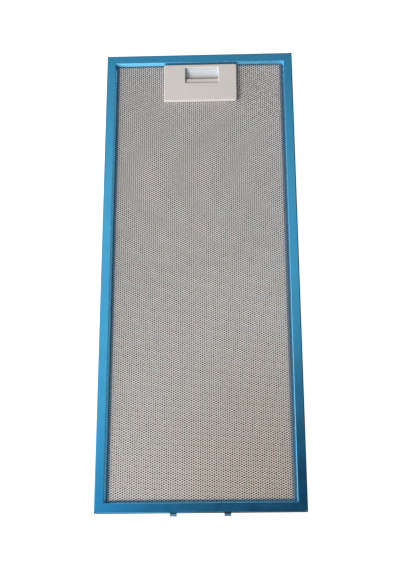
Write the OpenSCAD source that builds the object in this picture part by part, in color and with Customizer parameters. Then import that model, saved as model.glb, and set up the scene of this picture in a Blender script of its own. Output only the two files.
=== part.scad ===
// Metal grease filter for a cooker hood: a folded frame round a pack of expanded aluminium,
// with a moulded handle that holds a sprung latch. It lies on its back, and the handle is at +Y.

/* [Frame] */
// Outer width of the frame
frame_w = 187; // [150:1:260]
// Outer length of the frame, without its tabs
frame_l = 455; // [300:1:560]
// Thickness of the frame from back face to front face
frame_t = 9; // [8.6:0.1:11]
// Thickness of the frame's strip
strip_t = 0.6; // [0.4:0.1:0.7]
// Width of the flat front and back faces, up to their inner bend
face_w = 8; // [6:0.5:9]
// Outer radius of the bend between a face and its inner slope
inner_bend_r = 0.9; // [0.8:0.1:1.2]
// Outer radius of the frame's outer bends
outer_bend_r = 1; // [0.8:0.1:1.4]
// Steepness of the inner slopes, in degrees
slope_angle = 60; // [50:1:70]
// Depth of the front mesh below the front face
front_recess = 3.3; // [2.8:0.1:3.6]
// Height of the rear mesh above the back face
rear_recess = 1.3; // [1.2:0.1:1.5]
// Gap of the mitred seams
seam = 0.25; // [0.15:0.05:0.5]

/* [Locating tabs] */
// Distance between the middles of the two tabs
tab_spacing = 47.5; // [30:0.5:90]
// Width of a tab
tab_w = 6; // [4:0.5:10]
// How far a tab reaches out of the frame
tab_reach = 3.2; // [2.6:0.1:4]
// Slope of a tab's tip, in degrees
tab_tip_angle = 30; // [15:5:45]

/* [Filter pack] */
// Thickness of the front and rear expanded sheets
sheet_t = 1; // [0.8:0.1:1.2]
// Gap between the pack's edge and the outside of the frame
pack_inset = 2.5; // [2:0.1:4]
// Long way of a mesh opening, from middle to middle
mesh_long = 4.06; // [3.5:0.01:6]
// Short way of a mesh opening, from middle to middle
mesh_short = 2.14; // [1.8:0.01:3]
// Width of a strand
strand_w = 0.62; // [0.4:0.02:0.8]
// Height of a strand above the rest of its sheet
strand_h = 0.3; // [0.2:0.05:0.35]

/* [Handle] */
// Width of the handle
handle_w = 73; // [68:0.5:90]
// Height of the handle along the frame's length
handle_h = 40.6; // [40:0.1:60]
// Offset of the handle's middle to the right of the frame's middle
handle_x = 0.9; // [-5:0.1:5]
// Gap between the handle and the foot of the frame's slope
handle_gap = 1; // [0.6:0.1:2]
// How far the handle stands above the frame's front face
handle_proud = 0.2; // [0:0.1:0.4]
// Wall thickness of the handle's cover
cover_wall = 1.6; // [1.4:0.1:1.8]
// Radius of the cover's rounded top edge
cover_edge_r = 0.8; // [0.4:0.1:1]
// Radius of the handle's corners
handle_corner_r = 1.6; // [1:0.1:3]

/* [Finger recess] */
// Width of the recess
recess_w = 34.6; // [28:0.2:38]
// Height of the recess
recess_h = 18.8; // [17:0.2:20]
// Offset of the recess to the right of the handle's middle
recess_x = 1.6; // [-2:0.1:2]
// Distance from the handle's top edge to the recess
recess_drop = 2.7; // [2.5:0.1:3]
// Width of the rounded rim of the recess
rim_w = 0.8; // [0.4:0.1:1]
// Radius of the recess's corners
recess_corner_r = 2; // [1.5:0.1:3]
// Thickness of the floor of the scoop
scoop_wall = 0.9; // [0.8:0.1:1]
// Height of the lip's strip that shows in the recess
lip_show = 5.4; // [4:0.1:6]

/* [Latch] */
// How far the latch tongue reaches out of the frame
latch_reach = 3.2; // [2.6:0.1:3.4]
// Travel of the latch when it is pulled
latch_travel = 4.5; // [3.5:0.1:4.5]
// Width of the tongue
tongue_w = 24; // [12:1:30]
// Thickness of the latch's sliding plate and tongue
slide_t = 1.5; // [1.2:0.1:1.5]
// Clearance round the latch where it slides
slide_gap = 0.3; // [0.25:0.05:0.35]
// Outer diameter of a latch spring
spring_d = 4.2; // [3.6:0.1:4.4]
// Wire diameter of a latch spring
spring_wire = 0.5; // [0.4:0.05:0.6]
// Turns of a latch spring
spring_turns = 6; // [4:1:6]
// Distance between the two springs
spring_spacing = 30; // [20:1:36]

/* [Fastenings] */
// Diameter of the cover's pegs
peg_d = 3; // [2.4:0.1:3.4]
// Clearance round a peg in its hole
peg_gap = 0.1; // [0.05:0.05:0.2]
// Diameter of a peg's staked head
peg_head_d = 4.4; // [4:0.1:5]
// Shank diameter of the corner rivet
rivet_d = 2.4; // [2:0.1:3]

/* [Hidden] */
eps = 0.01;
bend_steps = 6;
bore_fn = 48;

half_w = frame_w / 2;
half_l = frame_l / 2;
mesh_top = frame_t - front_recess;
front_foot = face_w + foot_at(0, front_recess);
section_depth = front_foot + 1;

relief_d = 1.3;
window_gap = 0.25;
tab_root = 1.2;
tongue_tuck_l = 13;
tuck_h = frame_t - 2 * outer_bend_r - 1;
tuck_gap = 0.05;
rivet_x = -half_w + 8;
rivet_head_d = rivet_d * 1.9;
rivet_head_t = 0.7;
rivet_tail_d = rivet_d * 1.35;
rivet_tail_t = 0.9;

foil_count = 6;
pack_t = mesh_top - rear_recess;
foil_t = (pack_t - 2 * sheet_t) / foil_count;
pack_half_w = half_w - pack_inset;
pack_half_l = half_l - pack_inset;
strand_angle = atan2(mesh_short, mesh_long);
strand_pitch = mesh_long * sin(strand_angle);
gap_step = [5, 13];
gap_count = [8, 15];

handle_top = half_l - front_foot - handle_gap;
handle_bottom = handle_top - handle_h;
cover_top = frame_t + handle_proud;
cover_under = cover_top - cover_wall;
box_overlap = 4.5;
box_wall = 1.2;
box_half_w = handle_w / 2 - box_overlap - box_wall / 2;
box_bottom = handle_bottom + box_overlap;
box_top = handle_top - 0.5;
cutout_gap = 0.2;
base_low = 0.2;
floor_top = rear_recess + 0.1;

recess_mid = handle_x + recess_x;
recess_top = handle_top - recess_drop;
recess_bottom = recess_top - recess_h;
slide_low = floor_top + slide_gap;
slide_high = slide_low + slide_t;
scoop_low = slide_high + slide_gap;
scoop_floor = scoop_low + scoop_wall;
scoop_lip = 0.6;
lip_face = recess_bottom + rim_w + lip_show;
lip_wall = 1.6;
lip_top_wall = 1.4;
lip_chamfer = 0.4;
scoop_end = lip_face + slide_gap;
deck_top = cover_under - slide_gap;

peg_x = box_half_w - box_wall - 2.4;
peg_inset = 4.4;
peg_low = base_low + 0.1;
peg_head_t = 0.8;
boss_d = peg_d + 2.6;
boss_top = 5;
peg_ys = [box_bottom + peg_inset, box_top - peg_inset];

slide_half_w = peg_x - boss_d / 2 - slide_gap - 0.1;
slide_top = box_top - box_wall - slide_gap;
spring_y0 = box_bottom + box_wall;
spring_len = latch_travel + spring_turns * spring_wire + 2.1;
slide_bottom = spring_y0 + spring_len;
spring_z = (slide_high + deck_top) / 2;
spring_post_d = spring_d - 2 * spring_wire - 0.6;
spring_post_l = spring_turns * spring_wire;
tongue_chamfer = 0.8;
slot_gap = 0.5;

// Points of an arc about c, from angle a0 to angle a1
function arc(c, r, a0, a1, n = bend_steps) =
    [for (i = [0:n]) c + r * [cos(a0 + (a1 - a0) * i / n), sin(a0 + (a1 - a0) * i / n)]];

// Distance from the end of the flat face to where a skin of the slope meets the mesh
function foot_at(d, depth) = (inner_bend_r - d) * sin(slope_angle)
    + (depth - inner_bend_r + (inner_bend_r - d) * cos(slope_angle)) / tan(slope_angle);

// One skin of the frame's section, d inside the outer one, from the front foot round to the back foot
function section_skin(d) = concat(
    [[face_w + foot_at(d, front_recess), mesh_top]],
    arc([face_w, frame_t - inner_bend_r], inner_bend_r - d, 90 - slope_angle, 90),
    arc([outer_bend_r, frame_t - outer_bend_r], outer_bend_r - d, 90, 180),
    arc([outer_bend_r, outer_bend_r], outer_bend_r - d, 180, 270),
    arc([face_w, inner_bend_r], inner_bend_r - d, 270, 270 + slope_angle),
    [[face_w + foot_at(d, rear_recess), rear_recess]]);

function reversed(points) = [for (i = [len(points) - 1:-1:0]) points[i]];

module frame_section() {
    polygon(concat(section_skin(0), reversed(section_skin(strip_t))));
}

// One side of the frame, lying along X at the frame's -Y edge, cut to its two mitres
module frame_side(length) {
    intersection() {
        translate([-length / 2, 0, 0]) rotate([90, 0, 90]) linear_extrude(length) frame_section();
        linear_extrude(frame_t) polygon([
            [-length / 2 + seam / 2, 0], [length / 2 - seam / 2, 0],
            [length / 2 - section_depth - seam / 2, section_depth],
            [-length / 2 + section_depth + seam / 2, section_depth]]);
    }
}

// Plan of a rectangle with its corners rounded by true arcs
module arc_rect(w, l, r) {
    square([w - 2 * r, l], center = true);
    square([w, l - 2 * r], center = true);
    for (x = [-1, 1], y = [-1, 1])
        translate([x * (w / 2 - r), y * (l / 2 - r)]) circle(r, $fn = 32);
}

// The strip's upright web, bent round the corners
module frame_web() {
    translate([0, 0, outer_bend_r]) linear_extrude(frame_t - 2 * outer_bend_r) difference() {
        arc_rect(frame_w, frame_l, outer_bend_r);
        arc_rect(frame_w - 2 * strip_t, frame_l - 2 * strip_t, outer_bend_r - strip_t);
    }
}

// The tongue of strip that is tucked behind the top member and riveted there
module corner_tuck() {
    tuck_y = half_l - 2 * strip_t - tuck_gap;
    translate([-half_w + strip_t / 2, tuck_y, (frame_t - tuck_h) / 2])
        cube([tongue_tuck_l, strip_t, tuck_h]);
    translate([-half_w + strip_t / 2, tuck_y - strip_t, (frame_t - tuck_h) / 2])
        cube([strip_t, 2 * strip_t, tuck_h]);
}

module rivet_hole() {
    translate([rivet_x, half_l + eps, frame_t / 2])
        rotate([90, 0, 0]) cylinder(d = rivet_d + 0.1, h = 3 * strip_t, $fn = bore_fn);
}

// A tab left standing in the plane of the front face, with its tip sloped down
module locating_tab() {
    tip_drop = (tab_reach - tab_root) * tan(tab_tip_angle);
    translate([-tab_w / 2, -half_l, 0]) rotate([90, 0, 90]) linear_extrude(tab_w) polygon([
        [outer_bend_r + strip_t, frame_t], [-tab_root, frame_t], [-tab_reach, frame_t - tip_drop],
        [-tab_reach, frame_t - tip_drop - strip_t], [-tab_root, frame_t - strip_t],
        [outer_bend_r + strip_t, frame_t - strip_t]]);
}

// The window that a lanced tab leaves in the web below it
module tab_window() {
    translate([-tab_w / 2 - window_gap, -half_l - eps, frame_t - tab_reach - outer_bend_r])
        cube([tab_w + 2 * window_gap, outer_bend_r + eps, tab_reach + outer_bend_r + eps]);
}

module frame() {
    color([0.16, 0.5, 0.72]) {
        difference() {
            union() {
                frame_web();
                for (end = [0, 180]) rotate(end) translate([0, -half_l, 0]) frame_side(frame_w);
                for (end = [90, 270]) rotate(end) translate([0, -half_w, 0]) frame_side(frame_l);
            }
            corner_reliefs();
            for (x = [-1, 1]) translate([x * tab_spacing / 2, 0, 0]) tab_window();
            tongue_slot();
            translate([-half_w + outer_bend_r, half_l - strip_t - eps, -eps])
                cube([seam, strip_t + 2 * eps, frame_t + 2 * eps]);
            rivet_hole();
        }
        for (x = [-1, 1]) translate([x * tab_spacing / 2, 0, 0]) locating_tab();
        difference() {
            corner_tuck();
            rivet_hole();
        }
    }
}

// Small holes where the folds of three bends would meet, front and back
module corner_reliefs() {
    for (x = [-1, 1], y = [-1, 1], z = [-eps, frame_t - outer_bend_r])
        translate([x * (half_w - outer_bend_r), y * (half_l - outer_bend_r), z])
            cylinder(d = relief_d, h = outer_bend_r + eps, $fn = 24);
}

module tongue_slot() {
    translate([handle_x - tongue_w / 2 - slot_gap, half_l - strip_t - 1, slide_low - slot_gap])
        cube([tongue_w + 2 * slot_gap, strip_t + 2, slide_t + 2 * slot_gap]);
}

module corner_rivet() {
    color([0.8, 0.8, 0.82]) translate([rivet_x, half_l, frame_t / 2]) rotate([90, 0, 0]) {
        cylinder(d = rivet_d, h = 2 * strip_t + tuck_gap + rivet_tail_t, $fn = bore_fn);
        translate([0, 0, -rivet_head_t]) cylinder(d1 = rivet_d, d2 = rivet_head_d, h = rivet_head_t, $fn = bore_fn);
        translate([0, 0, 2 * strip_t + tuck_gap]) cylinder(d = rivet_tail_d, h = rivet_tail_t, $fn = bore_fn);
    }
}

// Plan of a sheet or foil of the pack, with the notch that the handle's box and tongue pass through
module pack_outline() {
    notch_w = 2 * (box_half_w + cutout_gap);
    difference() {
        square([2 * pack_half_w, 2 * pack_half_l], center = true);
        translate([handle_x - notch_w / 2, box_bottom - cutout_gap])
            square([notch_w, pack_half_l - box_bottom + 2 * cutout_gap + 1]);
    }
}

// Strands of the diagonal that rises to the right, over the whole sheet, cut to its outline
module strands() {
    reach = pack_half_w + pack_half_l;
    count = ceil(reach * cos(strand_angle) / strand_pitch);
    intersection() {
        pack_outline();
        for (i = [-count:count]) rotate(strand_angle)
            translate([-reach, i * strand_pitch - strand_w / 2]) square([2 * reach, strand_w]);
    }
}

// True openings of the mesh, on a coarser grid
module mesh_gaps() {
    open_long = mesh_long - strand_w / sin(strand_angle);
    open_short = mesh_short - strand_w / cos(strand_angle);
    for (i = [0:gap_count[0] - 1], j = [0:gap_count[1] - 1]) {
        x = (i - (gap_count[0] - 1) / 2) * gap_step[0] * mesh_long;
        y = (j - gap_count[1] / 2) * gap_step[1] * mesh_short - mesh_short;
        translate([x, y, -eps]) linear_extrude(sheet_t + 2 * eps) polygon([
            [-open_long / 2, 0], [0, -open_short / 2], [open_long / 2, 0], [0, open_short / 2]]);
    }
}

// An expanded sheet, with its strands standing up on the side that shows
module expanded_sheet() {
    difference() {
        union() {
            linear_extrude(sheet_t - strand_h) pack_outline();
            linear_extrude(sheet_t) strands();
        }
        mesh_gaps();
    }
}

module front_mesh() {
    color([0.66, 0.65, 0.63]) translate([0, 0, mesh_top - sheet_t]) expanded_sheet();
}

module rear_mesh() {
    color([0.66, 0.65, 0.63]) translate([0, 0, rear_recess + sheet_t]) mirror([0, 0, 1]) expanded_sheet();
}

// A foil layer, counted from the back
module filter_layer(n) {
    color([0.45, 0.44, 0.42]) translate([0, 0, rear_recess + sheet_t + (n - 1) * foil_t])
        linear_extrude(foil_t) pack_outline();
}

module cover_plan(inset = 0) {
    translate([handle_x, (handle_top + handle_bottom) / 2])
        arc_rect(handle_w - 2 * inset, handle_h - 2 * inset, handle_corner_r - inset / 2);
}

// The cover's outer form, with a rounded top edge
module cover_body() {
    hull() {
        translate([0, 0, mesh_top]) linear_extrude(cover_top - mesh_top - cover_edge_r) cover_plan();
        for (i = [1:4]) let (a = i * 90 / 4)
            translate([0, 0, mesh_top]) linear_extrude(cover_top - mesh_top - cover_edge_r * (1 - sin(a)))
                cover_plan(cover_edge_r * (1 - cos(a)));
    }
}

// Side view of the scoop: a quarter ellipse from the recess's top edge down to its floor, then flat
function scoop_curve(grow) = let (
        rise = cover_top - scoop_lip - scoop_floor,
        run = recess_top - rim_w - scoop_end - 1
    ) concat(
        [for (i = [0:12]) let (a = i * 90 / 12)
            [scoop_end + 1 + (run + grow) * cos(a), scoop_floor + rise - (rise + grow) * sin(a)]],
        [[scoop_end, scoop_floor - grow]]
    );

// The scoop's inside, grown outwards by grow for its shell
module scoop_space(grow, top) {
    w = recess_w - 2 * rim_w + 2 * grow;
    translate([recess_mid - w / 2, 0, 0]) rotate([90, 0, 90]) linear_extrude(w)
        polygon(concat(scoop_curve(grow), [[scoop_end, top], [recess_top - rim_w + grow, top]]));
}

// Plan of the recess, inset from the outside of its rim
module recess_plan(inset) {
    translate([recess_mid, (recess_top + recess_bottom) / 2])
        arc_rect(recess_w - 2 * inset, recess_h - 2 * inset, recess_corner_r - inset);
}

// The recess's opening through the cover, with a rim rounded in two steps
module recess_cut() {
    rim_mid = rim_w * cos(45);
    translate([0, 0, cover_under - 1]) linear_extrude(cover_wall + 2) recess_plan(rim_w);
    hull() {
        translate([0, 0, cover_top - rim_w]) linear_extrude(eps) recess_plan(rim_w);
        translate([0, 0, cover_top]) linear_extrude(1) recess_plan(rim_mid - rim_w * 0.3);
    }
    hull() {
        translate([0, 0, cover_top - rim_w + rim_mid]) linear_extrude(eps) recess_plan(rim_mid);
        translate([0, 0, cover_top]) linear_extrude(1) recess_plan(0);
    }
}

module cover_pegs() {
    for (x = [-1, 1], y = peg_ys) translate([handle_x + x * peg_x, y, peg_low]) {
        cylinder(d = peg_d, h = cover_under - peg_low + eps, $fn = bore_fn);
        cylinder(d = peg_head_d, h = peg_head_t, $fn = bore_fn);
    }
}

module handle_cover() {
    color([0.79, 0.77, 0.74]) {
        difference() {
            union() {
                difference() {
                    cover_body();
                    translate([0, 0, mesh_top - eps]) linear_extrude(cover_under - mesh_top + eps)
                        cover_plan(cover_wall);
                }
                scoop_space(scoop_wall, cover_top - scoop_lip);
            }
            scoop_space(0, cover_top);
            recess_cut();
        }
        cover_pegs();
    }
}

module base_bosses() {
    for (x = [-1, 1], y = peg_ys) translate([handle_x + x * peg_x, y, base_low])
        cylinder(d = boss_d, h = boss_top - base_low, $fn = bore_fn);
}

module peg_holes() {
    for (x = [-1, 1], y = peg_ys) translate([handle_x + x * peg_x, y, base_low - eps]) {
        cylinder(d = peg_d + 2 * peg_gap, h = boss_top, $fn = bore_fn);
        cylinder(d = peg_head_d + 2 * peg_gap, h = peg_low + peg_head_t - base_low + peg_gap, $fn = bore_fn);
    }
}

// Posts that the springs sit on
module spring_posts() {
    for (x = [-1, 1]) translate([handle_x + x * spring_spacing / 2, spring_y0 - eps, spring_z])
        rotate([-90, 0, 0]) cylinder(d = spring_post_d, h = spring_post_l, $fn = bore_fn);
}

module handle_base() {
    box_w = 2 * box_half_w;
    box_h = box_top - box_bottom;
    color([0.72, 0.71, 0.69]) {
        difference() {
            union() {
                translate([handle_x, (handle_top + handle_bottom) / 2, base_low])
                    linear_extrude(rear_recess - base_low) arc_rect(handle_w - 2, handle_h - 2, handle_corner_r);
                translate([handle_x - box_half_w, box_bottom, base_low])
                    cube([box_w, box_h, cover_under - base_low]);
            }
            translate([handle_x - box_half_w + box_wall, box_bottom + box_wall, floor_top])
                cube([box_w - 2 * box_wall, box_h - 2 * box_wall, cover_top]);
            translate([handle_x - tongue_w / 2 - slide_gap, box_top - box_wall - eps, floor_top])
                cube([tongue_w + 2 * slide_gap, box_wall + 2 * eps, slide_t + 2 * slide_gap]);
            translate([handle_x - box_w / 2 - eps, handle_top - cover_wall - cutout_gap, mesh_top - cutout_gap])
                cube([box_w + 2 * eps, cover_wall + cutout_gap, cover_top]);
            peg_holes();
        }
        difference() {
            base_bosses();
            peg_holes();
        }
        spring_posts();
    }
}

// The latch's sliding plate and finger lip
module latch_body() {
    translate([handle_x - slide_half_w, 0, 0]) rotate([90, 0, 90]) linear_extrude(2 * slide_half_w)
        polygon([
            [slide_bottom, slide_low], [slide_top, slide_low], [slide_top, slide_high],
            [lip_face, slide_high], [lip_face, deck_top - lip_chamfer], [lip_face - lip_chamfer, deck_top],
            [slide_bottom, deck_top]]);
}

module latch_slide() {
    pocket_w = 2 * (slide_half_w - lip_wall);
    color([0.79, 0.77, 0.74]) {
        difference() {
            latch_body();
            translate([handle_x - pocket_w / 2, slide_bottom + lip_wall, slide_low - eps])
                cube([pocket_w, lip_face - slide_bottom - 2 * lip_wall, deck_top - slide_low - lip_top_wall]);
        }
        translate([handle_x - tongue_w / 2, 0, 0]) rotate([90, 0, 90]) linear_extrude(tongue_w) polygon([
            [slide_top - 1, slide_low], [half_l + latch_reach - tongue_chamfer, slide_low],
            [half_l + latch_reach, slide_low + tongue_chamfer], [half_l + latch_reach, slide_high],
            [slide_top - 1, slide_high]]);
    }
}

// A coil spring along Y, swept as one closed tube
module coil_spring() {
    ring_sides = 6;
    steps = 12 * spring_turns;
    r = (spring_d - spring_wire) / 2;
    end = spring_wire / 2;
    points = [for (i = [0:steps]) let (
            turn = 360 * i / 12,
            along = end + (spring_len - 2 * end) * i / steps
        ) for (j = [0:ring_sides - 1]) let (
            a = 360 * j / ring_sides,
            rr = r + spring_wire / 2 * cos(a)
        ) [rr * cos(turn), along + spring_wire / 2 * sin(a), rr * sin(turn)]];
    sides = [for (i = [0:steps - 1], j = [0:ring_sides - 1]) let (k = (j + 1) % ring_sides)
        [i * ring_sides + j, i * ring_sides + k, (i + 1) * ring_sides + k, (i + 1) * ring_sides + j]];
    ends = [[for (j = [ring_sides - 1:-1:0]) j], [for (j = [0:ring_sides - 1]) steps * ring_sides + j]];
    color([0.6, 0.6, 0.62]) polyhedron(points, concat(sides, ends), convexity = 10);
}

module latch_spring_left() {
    translate([handle_x - spring_spacing / 2, spring_y0, spring_z]) coil_spring();
}

module latch_spring_right() {
    translate([handle_x + spring_spacing / 2, spring_y0, spring_z]) coil_spring();
}

frame();
corner_rivet();
front_mesh();
filter_layer(1);  // filter_layer_1
filter_layer(2);  // filter_layer_2
filter_layer(3);  // filter_layer_3
filter_layer(4);  // filter_layer_4
filter_layer(5);  // filter_layer_5
filter_layer(6);  // filter_layer_6
rear_mesh();
handle_cover();
handle_base();
latch_slide();
latch_spring_left();
latch_spring_right();
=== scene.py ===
import math

import bpy
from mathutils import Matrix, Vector


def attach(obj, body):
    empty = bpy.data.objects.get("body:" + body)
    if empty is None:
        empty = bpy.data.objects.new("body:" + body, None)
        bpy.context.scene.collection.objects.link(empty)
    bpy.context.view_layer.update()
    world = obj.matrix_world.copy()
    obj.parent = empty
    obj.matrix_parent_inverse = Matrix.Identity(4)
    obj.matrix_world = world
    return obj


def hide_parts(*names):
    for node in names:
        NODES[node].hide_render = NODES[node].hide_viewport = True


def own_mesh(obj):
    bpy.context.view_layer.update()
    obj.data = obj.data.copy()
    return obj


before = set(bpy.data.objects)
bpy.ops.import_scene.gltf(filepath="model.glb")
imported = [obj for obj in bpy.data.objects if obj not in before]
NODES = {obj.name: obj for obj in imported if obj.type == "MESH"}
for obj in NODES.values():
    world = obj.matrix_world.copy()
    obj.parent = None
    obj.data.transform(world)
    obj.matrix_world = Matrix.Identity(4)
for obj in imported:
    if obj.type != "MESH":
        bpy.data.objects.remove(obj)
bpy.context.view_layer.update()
MM = 0.001

# Sizes in millimetres that the pieces made here share with the solids
MESH_LONG, MESH_SHORT, STRAND = 4.06, 2.14, 0.62
MESH_TOP, REAR_LOW = 5.7, 1.3
MESH_SHIFT = MESH_SHORT / 4
PACK_HALF_W, PACK_HALF_L = 91.0, 225.0
SPRING_Y, SPRING_LEN, SPRING_Z = 181.175, 9.6, 5.25
SCOOP_LOW, SCOOP_HIGH = 201.0, 212.6
HANDLE_X, SPRING_SPACING = 0.9, 30.0
FOOT_X, FOOT_Y = 83.6, 217.6
HALF_W, HALF_L = 93.5, 227.5
# Faces of the moulded pieces above this area, in square metres, stay flat shaded
FLAT_AREA = 4e-6


# Material building
class Mat:
    """A node material with a Principled shader, and short calls for the nodes that feed it."""

    def __init__(self, name, color, metallic=0.0, roughness=0.5, **sockets):
        self.mat = bpy.data.materials.new(name)
        self.mat.use_nodes = True
        self.nt = self.mat.node_tree
        self.bsdf = self.nt.nodes["Principled BSDF"]
        self.bsdf.inputs["Base Color"].default_value = (*color, 1)
        self.bsdf.inputs["Metallic"].default_value = metallic
        self.bsdf.inputs["Roughness"].default_value = roughness
        for key, value in sockets.items():
            self.bsdf.inputs[key.replace("_", " ")].default_value = value
        self.coord = self.nt.nodes.new("ShaderNodeTexCoord").outputs["Object"]

    def node(self, kind, inputs=None, **props):
        n = self.nt.nodes.new(kind)
        for key, value in props.items():
            setattr(n, key, value)
        for key, value in (inputs or {}).items():
            if isinstance(value, bpy.types.NodeSocket):
                self.nt.links.new(value, n.inputs[key])
            else:
                n.inputs[key].default_value = value
        return n

    def link(self, output, socket):
        self.nt.links.new(output, self.bsdf.inputs[socket])

    def noise(self, scale, detail):
        return self.node("ShaderNodeTexNoise", {"Vector": self.coord, "Scale": scale, "Detail": detail,
                                                "Roughness": 0.5}).outputs["Fac"]

    def mix(self, fac, a, b, blend="MIX"):
        n = self.nt.nodes.new("ShaderNodeMix")
        n.data_type, n.blend_type = "RGBA", blend
        for index, value in ((0, fac), (6, a), (7, b)):
            if isinstance(value, bpy.types.NodeSocket):
                self.nt.links.new(value, n.inputs[index])
            else:
                n.inputs[index].default_value = value if index == 0 else (*value, 1)
        return n.outputs[2]

    def range(self, value, low, high, to_low, to_high):
        return self.node("ShaderNodeMapRange", {"Value": value, "From Min": low, "From Max": high,
                                                "To Min": to_low, "To Max": to_high}).outputs["Result"]

    def math(self, operation, *values):
        return self.node("ShaderNodeMath", dict(enumerate(values)), operation=operation).outputs[0]

    def bump(self, height, strength, distance):
        n = self.node("ShaderNodeBump", {"Height": height, "Strength": strength, "Distance": distance})
        self.nt.links.new(n.outputs["Normal"], self.bsdf.inputs["Normal"])


def film_masks(m):
    """Masks for the film: a painted highlight along the lower mitre seams, painted shade on the outer folds
    at +X and +Y and along the right part of the bottom edge, the tabs, and the inner slopes, painted paler as
    painted light.
    """
    axes = m.node("ShaderNodeSeparateXYZ", {"Vector": m.coord}).outputs
    in_x = m.math("SUBTRACT", m.math("ABSOLUTE", axes["X"]), HALF_W * MM)
    in_y = m.math("SUBTRACT", m.math("ABSOLUTE", axes["Y"]), HALF_L * MM)
    off = m.math("ABSOLUTE", m.math("SUBTRACT", in_x, in_y))
    # Painted highlight: a lighter line along the lower mitre seams, fading in towards the bottom.
    lower = m.range(axes["Y"], -0.20, -0.21, 0, 0.7)
    mitre_painted_highlight = m.math("MULTIPLY", m.range(off, 0.0003, 0.0007, 1, 0), lower)
    # Painted shade: the outer folds at +X and +Y and the right part of the bottom edge are painted dark,
    # standing in for dark reflections and the shadow side of the edge.
    fold_painted_shade = m.math("MAXIMUM", m.range(axes["X"], (HALF_W - 1.2) * MM, (HALF_W - 0.5) * MM, 0, 0.8),
                  m.range(axes["Y"], (HALF_L - 1.1) * MM, (HALF_L - 0.5) * MM, 0, 0.55))
    bottom_edge_painted_shade = m.math("MULTIPLY", m.range(axes["Y"], -(HALF_L - 0.1) * MM, -(HALF_L - 0.4) * MM, 1, 0),
                   m.range(axes["X"], -0.035, 0.01, 0, 1))
    tab = m.range(axes["Y"], -(HALF_L + 0.5) * MM, -HALF_L * MM, 1, 0)
    # Painted light: the inner slopes, painted paler.
    slope_painted_light = m.range(m.math("MAXIMUM", in_x, in_y), -0.0081, -0.0079, 1, 0)
    return mitre_painted_highlight, m.math("MAXIMUM", fold_painted_shade, bottom_edge_painted_shade), tab, slope_painted_light


def film_blue():
    m = Mat("film_blue", (0.06, 0.38, 0.68), metallic=0.97, roughness=0.2)
    cloudy = m.noise(9, 3)
    fine = m.noise(700, 2)
    col = m.mix(m.range(cloudy, 0.3, 0.7, 0, 1), (0.055, 0.365, 0.660), (0.070, 0.395, 0.700))
    col = m.mix(m.range(fine, 0.35, 0.65, 0, 0.14), col, (0.095, 0.43, 0.72))
    mitre_painted_highlight, fold_painted_shade, tab, slope_painted_light = film_masks(m)
    # Painted light on the film: paler inner slopes, a lighter line on the lower mitre seams, and dark outer
    # folds.
    col = m.mix(slope_painted_light, col, (0.15, 0.52, 0.84))
    col = m.mix(mitre_painted_highlight, col, (0.24, 0.52, 0.74))
    col = m.mix(fold_painted_shade, col, (0.008, 0.035, 0.08))
    m.link(m.mix(tab, col, (0.09, 0.19, 0.29)), "Base Color")
    m.link(m.range(m.noise(60, 3), 0.3, 0.7, 0.18, 0.23), "Roughness")
    m.bump(m.noise(900, 2), 0.02, 0.00005)
    return m.mat


def mesh_masks(m):
    """Two masks of painted light: the groove beside the frame's feet, painted as shade with a bluish
    reflection, and the corner at +X -Y, painted warmer as a warm reflection.
    """
    axes = m.node("ShaderNodeSeparateXYZ", {"Vector": m.coord}).outputs
    x, y = m.math("ABSOLUTE", axes["X"]), m.math("ABSOLUTE", axes["Y"])
    # Painted shade: the sheet beside the frame's feet darkens to a bluish tone.
    side = m.range(x, (FOOT_X - 4.0) * MM, (FOOT_X - 1.2) * MM, 0, 1)
    end = m.range(y, (FOOT_Y - 2.6) * MM, (FOOT_Y - 0.9) * MM, 0, 1)
    groove_painted_shade = m.math("MAXIMUM", side, end)
    # Painted reflection: a warm tint around a point near the +X -Y corner.
    offset = m.node("ShaderNodeVectorMath", {0: m.coord, 1: (0.10, -0.25, 0)},
                    operation="DISTANCE").outputs["Value"]
    return groove_painted_shade, m.range(offset, 0.05, 0.20, 1, 0)


def mesh_metal():
    m = Mat("mesh_metal", (0.9, 0.88, 0.86), metallic=0.5, roughness=0.36)
    groove_painted_shade, warm_painted_reflection = mesh_masks(m)
    tone = m.noise(26, 4)
    col = m.mix(m.range(tone, 0.3, 0.7, 0, 1), (0.95, 0.92, 0.905), (1.0, 0.97, 0.955))
    # Painted warm reflection in the +X -Y corner.
    col = m.mix(warm_painted_reflection, col, (0.84, 0.765, 0.685))
    # Painted shade with a bluish painted reflection beside the frame's feet.
    m.link(m.mix(groove_painted_shade, col, (0.20, 0.33, 0.46)), "Base Color")
    m.link(m.range(m.noise(900, 2), 0.3, 0.7, 0.3, 0.42), "Roughness")
    return m.mat


# The inner foil is painted dark as painted shade of the deep openings: a cell pattern of darker painted
# shade, a darker and warmer +X -Y corner, and near-black beside the frame.
def foil_painted_shade():
    m = Mat("foil_painted_shade", (0.14, 0.125, 0.115), metallic=0.5, roughness=0.5)
    groove_painted_shade, warm_painted_reflection = mesh_masks(m)
    turned = m.node("ShaderNodeMapping", {"Vector": m.coord, "Scale": (1, 1.9, 1), "Rotation": (0, 0, 0.3)})
    cells = m.node("ShaderNodeTexVoronoi", {"Vector": turned.outputs["Vector"], "Scale": 330.0})
    cell_painted_shade = m.range(cells.outputs["Distance"], 0.1, 0.6, 0, 1)
    col = m.mix(cell_painted_shade, (0.33, 0.305, 0.285), (0.11, 0.10, 0.092))
    col = m.mix(warm_painted_reflection, col, m.mix(cell_painted_shade, (0.10, 0.085, 0.07), (0.03, 0.025, 0.02)))
    m.link(m.mix(groove_painted_shade, col, (0.03, 0.05, 0.075)), "Base Color")
    m.bump(cells.outputs["Distance"], 0.5, 0.0003)
    return m.mat


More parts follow.
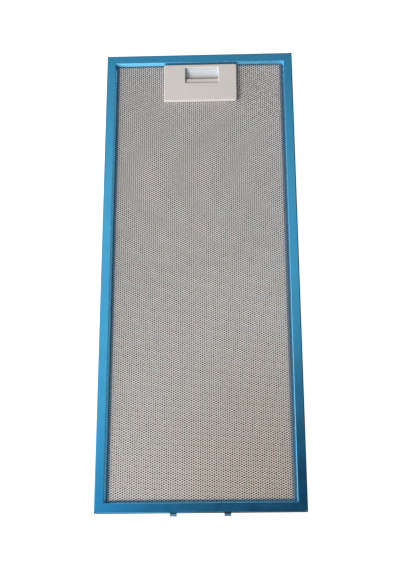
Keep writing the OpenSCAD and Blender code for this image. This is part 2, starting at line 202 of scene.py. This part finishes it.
def handle_plastic():
    m = Mat("handle_plastic", (0.68, 0.65, 0.61), roughness=0.46)
    col = m.mix(m.range(m.noise(35, 3), 0.3, 0.7, 0, 1), (0.635, 0.595, 0.555), (0.665, 0.625, 0.585))
    axes = m.node("ShaderNodeSeparateXYZ", {"Vector": m.coord}).outputs
    # Painted light: the scoop's inside is painted bluish-white.
    scoop_painted_light = m.math("MULTIPLY", m.range(axes["Y"], (SCOOP_LOW - 0.1) * MM, (SCOOP_LOW + 0.2) * MM, 0, 1),
                    m.range(axes["Y"], (SCOOP_HIGH - 0.1) * MM, (SCOOP_HIGH + 0.2) * MM, 1, 0))
    scoop_painted_light = m.math("MULTIPLY", scoop_painted_light, m.range(axes["Z"], 0.0084, 0.0080, 0, 1))
    col = m.mix(scoop_painted_light, col, (0.62, 0.655, 0.69))
    # Painted shade: the scoop darkens towards the lip.
    scoop_painted_shade = m.math("MULTIPLY", scoop_painted_light, m.range(axes["Y"], (SCOOP_LOW + 1.8) * MM, (SCOOP_LOW + 6) * MM, 1, 0))
    col = m.mix(scoop_painted_shade, col, (0.44, 0.39, 0.345))
    m.link(col, "Base Color")
    m.link(m.range(m.noise(240, 3), 0.3, 0.7, 0.42, 0.52), "Roughness")
    m.bump(m.noise(2600, 2), 0.08, 0.00004)
    return m.mat


def spring_steel():
    m = Mat("spring_steel", (0.62, 0.62, 0.64), metallic=1.0, roughness=0.28)
    m.link(m.range(m.noise(1500, 2), 0.3, 0.7, 0.22, 0.36), "Roughness")
    return m.mat


def rivet_metal():
    m = Mat("rivet_metal", (0.80, 0.80, 0.82), metallic=1.0, roughness=0.34)
    m.link(m.range(m.noise(900, 2), 0.3, 0.7, 0.28, 0.42), "Roughness")
    return m.mat


def wear(obj, mat):
    obj.data.materials.clear()
    obj.data.materials.append(mat)


# Pieces
def new_mesh(name, verts, faces, mat, slot, body, *nodes):
    me = bpy.data.meshes.new(name)
    me.from_pydata(verts, [], faces)
    me.validate()
    obj = bpy.data.objects.new(name, me)
    bpy.context.scene.collection.objects.link(obj)
    wear(obj, mat)
    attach(obj, body)
    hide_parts(*nodes)
    return obj


def expanded_sheet(y_low, y_high, top, sign):
    """Vertices in mm and faces of raised expanded metal, in which each opening's +Y corner stands highest."""
    theta = math.atan2(MESH_SHORT, MESH_LONG)
    a = MESH_LONG / 2 - STRAND / (2 * math.sin(theta))
    b = MESH_SHORT / 2 - STRAND / (2 * math.cos(theta))
    rise, thick = 0.62, 0.38
    corners = ((a, 0, 0.68), (0, b, 1.0), (-a, 0, 0.32), (0, -b, 0.0))
    reach_x, reach_y = 86.5, 220.5
    verts, faces, ids = [], [], {}

    def cut(x, y):
        return abs(x - HANDLE_X) < 33.4 and y > 178.9

    n_i, n_j = int(2 * reach_x / MESH_LONG) + 2, int(2 * reach_y / MESH_SHORT) + 2
    for i in range(-n_i, n_i + 1):
        for j in range(-n_j, n_j + 1):
            if (i + j) % 2:
                continue
            x, y = i * MESH_LONG / 2, j * MESH_SHORT / 2 + MESH_SHIFT
            if abs(x) > reach_x or abs(y) > reach_y or cut(x, y):
                continue
            if not y_low - MESH_SHORT * 0.51 <= y < y_high + MESH_SHORT * 0.51:
                continue
            ids[i, j] = len(verts)
            for px, py, h in corners:
                verts.append((x + px, y + py, top - sign * rise * (1 - h)))
            for px, py, h in corners:
                verts.append((x + px, y + py, top - sign * (rise * (1 - h) + thick)))
    for (i, j), k in ids.items():
        y = j * MESH_SHORT / 2 + MESH_SHIFT
        if not y_low <= y < y_high:
            continue
        for s in range(4):
            t = (s + 1) % 4
            faces.append((k + s, k + t, k + 4 + t, k + 4 + s))
        up_r, up_l = ids.get((i + 1, j + 1)), ids.get((i - 1, j + 1))
        right, down = ids.get((i + 2, j)), ids.get((i + 1, j - 1))
        if up_r is not None:
            faces.append((k + 0, up_r + 3, up_r + 2, k + 1))
        if up_l is not None:
            faces.append((k + 1, up_l + 0, up_l + 3, k + 2))
        if None not in (right, up_r, down):
            faces.append((k + 0, down + 1, right + 2, up_r + 3))
    if sign < 0:
        faces = [f[::-1] for f in faces]
    return verts, faces


def sheet_rim(top, sign):
    """The plain margin of a sheet, hidden in the frame, as flat strips in mm."""
    verts, faces = [], []
    low, high = sorted((top - sign * 0.45, top - sign * 0.85))
    xo, yo, xi, yi = PACK_HALF_W, PACK_HALF_L, 86.0, 220.2
    notch = 31.6
    strips = [(-xo, -yo, xo, -yi), (-xo, -yi, -xi, yo), (xi, -yi, xo, yo),
              (-xi, yi, HANDLE_X - notch, yo), (HANDLE_X + notch, yi, xi, yo)]
    for x0, y0, x1, y1 in strips:
        k = len(verts)
        verts += [(x, y, z) for z in (low, high) for x, y in ((x0, y0), (x1, y0), (x1, y1), (x0, y1))]
        faces += [(k + 3, k + 2, k + 1, k), (k + 4, k + 5, k + 6, k + 7)]
        faces += [(k + s, k + (s + 1) % 4, k + 4 + (s + 1) % 4, k + 4 + s) for s in range(4)]
    return verts, faces


def scaled(verts):
    return [(x * MM, y * MM, z * MM) for x, y, z in verts]


def sheets(node, top, sign, mat):
    for part, (y0, y1) in enumerate(((-230, 0), (0, 230)), 1):
        verts, faces = expanded_sheet(y0, y1, top, sign)
        if part == 1:
            v2, f2 = sheet_rim(top, sign)
            faces += [tuple(q + len(verts) for q in f) for f in f2]
            verts += v2
        new_mesh(f"{node}_{part}", scaled(verts), faces, mat, "mesh", "filter", node)


def coil(name, x, node, mat):
    turns, wire, outer, sides, steps = 6, 0.5, 4.2, 8, 24
    r, n = (outer - wire) / 2, steps * turns
    verts, faces = [], []
    for i in range(n + 1):
        t = i / n
        ease = t + 0.55 / (2 * math.pi * turns) * math.sin(2 * math.pi * t)
        ang = 2 * math.pi * turns * t
        y = wire / 2 + (SPRING_LEN - wire) * ease
        for j in range(sides):
            q = 2 * math.pi * j / sides
            rr = r + wire / 2 * math.cos(q)
            along = SPRING_Y + y + wire / 2 * math.sin(q)
            verts.append((x + rr * math.cos(ang), along, SPRING_Z + rr * math.sin(ang)))
    for i in range(n):
        for j in range(sides):
            k = (j + 1) % sides
            faces.append((i * sides + j, i * sides + k, (i + 1) * sides + k, (i + 1) * sides + j))
    faces.append(tuple(range(sides - 1, -1, -1)))
    faces.append(tuple(n * sides + j for j in range(sides)))
    obj = new_mesh(name, scaled(verts), faces, mat, "spring", "filter", node)
    for p in obj.data.polygons:
        p.use_smooth = True
    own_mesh(obj)


def softened(node, width, mat, body):
    """A copy of a CAD node with its hard edges rounded by width mm, which stands for it."""
    src = NODES[node]
    me = src.data.copy()
    obj = bpy.data.objects.new(node + "_finished", me)
    bpy.context.scene.collection.objects.link(obj)
    bpy.context.view_layer.objects.active = obj
    for name, kind, props in (
        ("weld", "WELD", {"merge_threshold": 2e-6}),
        ("flat", "DECIMATE", {"decimate_type": "DISSOLVE", "angle_limit": math.radians(0.6)}),
        ("edges", "BEVEL", {"width": width * MM, "segments": 2, "limit_method": "ANGLE",
                            "angle_limit": math.radians(30), "use_clamp_overlap": True,
                            "harden_normals": False, "miter_outer": "MITER_ARC"}),
        ("normals", "WEIGHTED_NORMAL", {"keep_sharp": True}),
    ):
        mod = obj.modifiers.new(name, kind)
        for key, value in props.items():
            setattr(mod, key, value)
    deps = bpy.context.evaluated_depsgraph_get()
    done = bpy.data.meshes.new_from_object(obj.evaluated_get(deps))
    obj.modifiers.clear()
    obj.data = done
    for p in done.polygons:
        p.use_smooth = p.area < FLAT_AREA
    wear(obj, mat)
    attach(obj, body)
    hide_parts(node)


BLUE, METAL, FOIL = film_blue(), mesh_metal(), foil_painted_shade()
PLASTIC, STEEL, RIVET = handle_plastic(), spring_steel(), rivet_metal()

wear(NODES["frame"], BLUE)
wear(NODES["corner_rivet"], RIVET)
for n in range(1, 7):
    wear(NODES[f"filter_layer_{n}"], FOIL)
wear(NODES["handle_base"], PLASTIC)
softened("handle_cover", 0.35, PLASTIC, "filter")
softened("latch_slide", 0.3, PLASTIC, "latch")
sheets("front_mesh", MESH_TOP, 1, METAL)
sheets("rear_mesh", REAR_LOW, -1, METAL)
coil("spring_left", HANDLE_X - SPRING_SPACING / 2, "latch_spring_left", STEEL)
coil("spring_right", HANDLE_X + SPRING_SPACING / 2, "latch_spring_right", STEEL)


# Stage, lights and camera
def floor():
    me = bpy.data.meshes.new("floor")
    s = 4.0
    corners = [(x, y, -0.0004) for x, y in ((-s, -s), (s, -s), (s, s), (-s, s))]
    me.from_pydata(corners, [], [(0, 1, 2, 3)])
    obj = bpy.data.objects.new("floor", me)
    bpy.context.scene.collection.objects.link(obj)
    m = Mat("floor_white", (0.3, 0.3, 0.3), roughness=0.9)
    m.bsdf.inputs["Emission Color"].default_value = (1, 1, 1, 1)
    m.link(m.node("ShaderNodeLightPath").outputs["Is Camera Ray"], "Emission Strength")
    wear(obj, m.mat)


def area(name, place, size, power, color):
    """A square light that points at the origin."""
    light = bpy.data.lights.new(name, "AREA")
    light.energy, light.color, light.size = power, color, size
    obj = bpy.data.objects.new(name, light)
    obj.location = place
    obj.rotation_euler = (-Vector(place)).to_track_quat("-Z", "Y").to_euler()
    bpy.context.scene.collection.objects.link(obj)


def studio(base, cones):
    """A sky of a base colour under cones (direction, inner and outer angle, colour), seen as white."""
    w = bpy.data.worlds.new("studio")
    bpy.context.scene.world = w
    w.use_nodes = True
    nt = w.node_tree
    way = nt.nodes.new("ShaderNodeTexCoord").outputs["Generated"]
    color = None
    for direction, inner, outer, tint in cones:
        dot = nt.nodes.new("ShaderNodeVectorMath")
        dot.operation = "DOT_PRODUCT"
        nt.links.new(way, dot.inputs[0])
        dot.inputs[1].default_value = Vector(direction).normalized()
        fade = nt.nodes.new("ShaderNodeMapRange")
        fade.interpolation_type = "SMOOTHSTEP"
        fade.inputs["From Min"].default_value = math.cos(math.radians(outer))
        fade.inputs["From Max"].default_value = math.cos(math.radians(inner))
        nt.links.new(dot.outputs["Value"], fade.inputs["Value"])
        mix = nt.nodes.new("ShaderNodeMix")
        mix.data_type = "RGBA"
        nt.links.new(fade.outputs["Result"], mix.inputs[0])
        if color is None:
            mix.inputs[6].default_value = (*base, 1)
        else:
            nt.links.new(color, mix.inputs[6])
        mix.inputs[7].default_value = (*tint, 1)
        color = mix.outputs[2]
    seen = nt.nodes.new("ShaderNodeMix")
    seen.data_type = "RGBA"
    nt.links.new(nt.nodes.new("ShaderNodeLightPath").outputs["Is Camera Ray"], seen.inputs[0])
    nt.links.new(color, seen.inputs[6])
    seen.inputs[7].default_value = (1, 1, 1, 1)
    nt.links.new(seen.outputs[2], nt.nodes["Background"].inputs["Color"])


def camera():
    cam = bpy.data.cameras.new("camera")
    cam.sensor_width, cam.lens = 36.0, 61.9
    cam.shift_x = -10 / 570
    cam.clip_start, cam.clip_end = 0.05, 20
    obj = bpy.data.objects.new("camera", cam)
    obj.location = (0.0353, -0.3079, 0.8797)
    obj.rotation_euler = tuple(math.radians(a) for a in (18.323, 1.811, -0.328))
    bpy.context.scene.collection.objects.link(obj)
    bpy.context.scene.camera = obj


floor()
studio((0.34, 0.35, 0.36), (
    ((-0.4, 0.55, 1), 8, 42, (0.36, 0.37, 0.39)),
    ((-0.2, 0.26, 1), 4, 21, (1.15, 1.12, 1.06)),
    ((0.1, 0.34, 1), 2, 13, (0.84, 0.82, 0.78)),
    ((0.0, 1.0, 0.1), 15, 45, (0.13, 0.14, 0.16)),
    ((-0.17, 0.05, 1), 2, 8.5, (0.3, 1.0, 1.35)),
    ((-1, 0, 0.12), 12, 40, (2.2, 2.25, 2.3)),
    ((-0.55, -1.0, 0.35), 16, 42, (2.4, 2.4, 2.4)),
    ((1, 0.1, 0.2), 20, 60, (0.12, 0.13, 0.15)),
    ((0.14, -0.3, 1), 11, 17, (0.02, 0.03, 0.05)),
    ((0.095, -0.015, 1), 11.5, 17, (0.0, 0.0, 0.03)),
    ((0.15, -0.8, 1), 9, 16, (0.03, 0.04, 0.06)),
    ((0.2, -1, 0.45), 8, 18, (0.06, 0.07, 0.09)),
    ((0.2, -1, 0.15), 8, 15, (0.10, 0.11, 0.13)),
    ((-0.3, -1, 0.05), 3, 11, (4.2, 3.4, 2.5)),
))
area("key_left", (-1.1, -0.75, 1.0), 0.5, 21, (1.0, 0.975, 0.95))
camera()
scene = bpy.context.scene
scene.view_settings.view_transform = "Standard"
scene.view_settings.look = "None"
scene.cycles.pixel_filter_type = "BLACKMAN_HARRIS"
scene.cycles.filter_width = 1.4
scene.cycles.denoising_prefilter = "NONE"
